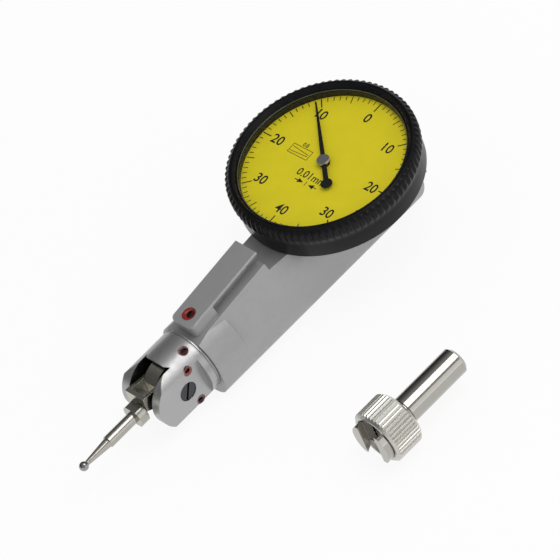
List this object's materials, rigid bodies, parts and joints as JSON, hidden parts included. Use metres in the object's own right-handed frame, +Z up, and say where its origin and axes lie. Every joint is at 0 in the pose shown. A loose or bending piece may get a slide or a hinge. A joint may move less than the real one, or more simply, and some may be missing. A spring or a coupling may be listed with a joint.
{
  "type": "dial test indicator",
  "caption": "Lever-type dial test indicator with a swivelling stylus head, a turning bezel and a loose dovetail stem clamp.",
  "frame": {"origin": "on the resting face, below the dial's axis", "axes": "+X along the body from the stylus to the dial's end, +Z up and out of the dial, +Y to the left of +X"},
  "size_m": [0.0966, 0.0728, 0.0239],
  "materials": {
    "satin_chrome": "satin chrome on a blasted body",
    "head_chrome": "satin chrome",
    "dark_steel": "blued",
    "sealed_screw": "dark, sealed with red lacquer",
    "spring_steel": "bright",
    "steel": "ground",
    "nickel": "nickel plated",
    "carbide": "lapped carbide",
    "brass": "machined",
    "hairspring": "bronze ribbon",
    "ruby": "polished synthetic ruby",
    "case_black": "black anodised",
    "bezel_black": "black anodised, satin",
    "dial_yellow": "matt yellow print",
    "pointer_black": "black lacquer",
    "crystal": "clear"
  },
  "bodies": {
    "frame": {"housing": "satin_chrome", "head_lock_screw": "sealed_screw", "swivel_washer": "spring_steel", "rod_bushings": "brass", "bearing_jewels": "ruby", "movement_bridge": "brass", "bridge_pillars": "brass", "bridge_screws": "dark_steel", "hairspring": "hairspring", "hairspring_stud": "steel", "dial_case": "case_black", "case_screws": "dark_steel", "bezel_snap_ring": "spring_steel"},
    "head": {"head": "head_chrome", "pivot_screws": "dark_steel", "head_set_screws": "sealed_screw"},
    "lever": {"measuring_lever": "nickel", "lever_bearings": "steel"},
    "stylus": {"stylus_yoke": "steel", "stylus_shank": "steel", "stylus_ball": "carbide"},
    "push_rod": {"push_rod": "steel", "rod_disc": "steel"},
    "sector": {"sector_arbor": "steel", "sector_pad": "brass", "sector_blade": "brass"},
    "wheel": {"intermediate_pinion": "steel", "intermediate_wheel": "brass"},
    "pointer": {"pointer_arbor": "steel", "spring_collet": "brass", "pointer": "pointer_black", "pointer_hub": "pointer_black"},
    "bezel": {"bezel": "bezel_black", "crystal": "crystal", "dial_spacer": "case_black", "dial_plate": "dial_yellow", "dial_retainer": "case_black"},
    "clamp": {"clamp_stem": "steel"},
    "clamp_nut": {"clamp_nut": "nickel"}
  },
  "joints": [
    {"name": "head_swivel", "type": "hinge", "parent": "frame", "child": "head", "pos_m": [-0.0441, 0, 0.008], "axis": [1, 0, 0], "range_deg": [-90, 90]},
    {"name": "lever_swing", "type": "hinge", "parent": "head", "child": "lever", "pos_m": [-0.0508, 0, 0.008], "axis": [0, 1, 0], "range_deg": [-0.02, 1.9], "stiffness_Nm_per_rad": 0.005, "springref_deg": -28.65},
    {"name": "stylus_swing", "type": "hinge", "parent": "lever", "child": "stylus", "pos_m": [-0.0508, 0, 0.008], "axis": [0, 1, 0], "range_deg": [-65, 40]},
    {"name": "rod_slide", "type": "slide", "parent": "frame", "child": "push_rod", "axis": [1, 0, 0], "range_m": [0, 0.0001355]},
    {"name": "sector_swing", "type": "hinge", "parent": "frame", "child": "sector", "pos_m": [-0.012, -0.00185, 0.008], "axis": [0, 0, 1], "range_deg": [-4.27, 0.05]},
    {"name": "wheel_turn", "type": "hinge", "parent": "frame", "child": "wheel", "pos_m": [0.00387, 0.00745, 0.01833], "axis": [0, 0, 1], "range_deg": [-0.5, 61.2]},
    {"name": "pointer_turn", "type": "hinge", "parent": "frame", "child": "pointer", "pos_m": [0, 0, 0.01833], "axis": [0, 0, 1], "range_deg": [-366, 3]},
    {"name": "bezel_turn", "type": "hinge", "parent": "frame", "child": "bezel", "pos_m": [0, 0, 0.02123], "axis": [0, 0, 1], "continuous": true},
    {"name": "clamp_lift", "type": "slide", "parent": "frame", "child": "clamp", "axis": [0, 0, 1], "range_m": [0, 0.03]},
    {"name": "nut_turn", "type": "hinge", "parent": "clamp", "child": "clamp_nut", "pos_m": [-0.0354, -0.0467, 0.00615], "axis": [1, 0, 0], "continuous": true}
  ],
  "couplings": [
    {"joint": "lever_swing", "follows": "rod_slide", "rad_per_m": 238.1},
    {"joint": "sector_swing", "follows": "rod_slide", "rad_per_m": -539.25},
    {"joint": "wheel_turn", "follows": "rod_slide", "rad_per_m": 7729.3},
    {"joint": "pointer_turn", "follows": "rod_slide", "rad_per_m": -46376}
  ]
}
